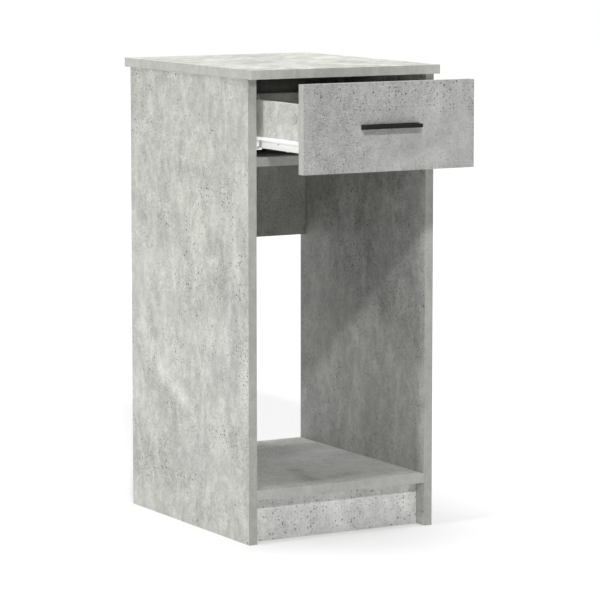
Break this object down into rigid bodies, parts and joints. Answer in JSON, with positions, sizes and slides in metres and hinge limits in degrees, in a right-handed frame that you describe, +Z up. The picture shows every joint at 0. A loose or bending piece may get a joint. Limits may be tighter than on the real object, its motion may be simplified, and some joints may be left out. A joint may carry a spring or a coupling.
{
  "type": "side table with drawer",
  "caption": "Tall narrow side table in concrete-look board: a drawer on roller runners over an open bay with a low shelf and plinth.",
  "frame": {"origin": "on the floor, under the middle of the bounding box of the table as stored, with its drawer 146.5 mm out; the cabinet's own front plane is at y = -0.13275", "axes": "+Z up, +X to the table's right as seen from its front, the front and the drawer face -Y"},
  "size_m": [0.35, 0.5846, 0.76],
  "materials": {
    "board": "concrete-look melamine facing on 12 and 15 mm chipboard, matt",
    "hardboard": "thin fibreboard, pale grey face",
    "handle": "satin black coat on die-cast zinc",
    "runner": "white epoxy powder coat on folded steel",
    "roller": "natural white nylon",
    "cam": "raw die-cast zinc",
    "cap": "thin plastic cap printed like the board",
    "fastener": "zinc plated steel"
  },
  "bodies": {
    "cabinet": {"top_panel": "board", "left_side_panel": "board", "right_side_panel": "board", "bottom_shelf": "board", "plinth": "board", "drawer_divider": "board", "rear_rail": "board", "cabinet_runner_left": "runner", "front_roller_pin_left": "fastener", "cabinet_runner_screw_left_1": "fastener", "cabinet_runner_screw_left_2": "fastener", "cabinet_runner_right": "runner", "front_roller_pin_right": "fastener", "cabinet_runner_screw_right_1": "fastener", "cabinet_runner_screw_right_2": "fastener", "top_cam_left_1": "cam", "top_cam_left_2": "cam", "shelf_cam_left_1": "cam", "shelf_cam_left_2": "cam", "divider_cam_left_1": "cam", "divider_cam_left_2": "cam", "rail_cam_left_1": "cam", "rail_cam_left_2": "cam", "top_cam_right_1": "cam", "top_cam_right_2": "cam", "shelf_cam_right_1": "cam", "shelf_cam_right_2": "cam", "divider_cam_right_1": "cam", "divider_cam_right_2": "cam", "rail_cam_right_1": "cam", "rail_cam_right_2": "cam", "plinth_cam_left": "cam", "plinth_cam_right": "cam"},
    "drawer": {"drawer_front": "board", "drawer_back": "board", "drawer_side_left": "board", "drawer_side_right": "board", "drawer_bottom": "hardboard", "drawer_handle": "handle", "drawer_runner_left": "runner", "drawer_cam_left": "cam", "drawer_cam_cap_left": "cap", "drawer_cam_bolt_left": "fastener", "drawer_runner_screw_left_1": "fastener", "drawer_runner_screw_left_2": "fastener", "drawer_runner_right": "runner", "drawer_cam_right": "cam", "drawer_cam_cap_right": "cap", "drawer_cam_bolt_right": "fastener", "drawer_runner_screw_right_1": "fastener", "drawer_runner_screw_right_2": "fastener", "handle_screw_left": "fastener", "handle_screw_right": "fastener", "rear_roller_pin_left": "fastener", "rear_roller_pin_right": "fastener"},
    "front_roller_left": {"front_roller_left": "roller"},
    "front_roller_right": {"front_roller_right": "roller"},
    "rear_roller_left": {"rear_roller_left": "roller"},
    "rear_roller_right": {"rear_roller_right": "roller"}
  },
  "joints": [
    {"name": "drawer_slide", "type": "slide", "parent": "cabinet", "child": "drawer", "axis": [0, -1, 0], "range_m": [-0.1315, 0.0935]},
    {"name": "front_roller_spin_left", "type": "hinge", "parent": "cabinet", "child": "front_roller_left", "pos_m": [-0.15025, -0.11875, 0.6435], "axis": [1, 0, 0], "continuous": true},
    {"name": "rear_roller_spin_left", "type": "hinge", "parent": "drawer", "child": "rear_roller_left", "pos_m": [-0.15025, 0.02575, 0.6435], "axis": [1, 0, 0], "continuous": true},
    {"name": "front_roller_spin_right", "type": "hinge", "parent": "cabinet", "child": "front_roller_right", "pos_m": [0.15025, -0.11875, 0.6435], "axis": [1, 0, 0], "continuous": true},
    {"name": "rear_roller_spin_right", "type": "hinge", "parent": "drawer", "child": "rear_roller_right", "pos_m": [0.15025, 0.02575, 0.6435], "axis": [1, 0, 0], "continuous": true}
  ],
  "couplings": [
    {"joint": "front_roller_spin_left", "follows": "drawer_slide", "rad_per_m": 117.65},
    {"joint": "rear_roller_spin_left", "follows": "drawer_slide", "rad_per_m": 117.65},
    {"joint": "front_roller_spin_right", "follows": "drawer_slide", "rad_per_m": 117.65},
    {"joint": "rear_roller_spin_right", "follows": "drawer_slide", "rad_per_m": 117.65}
  ]
}
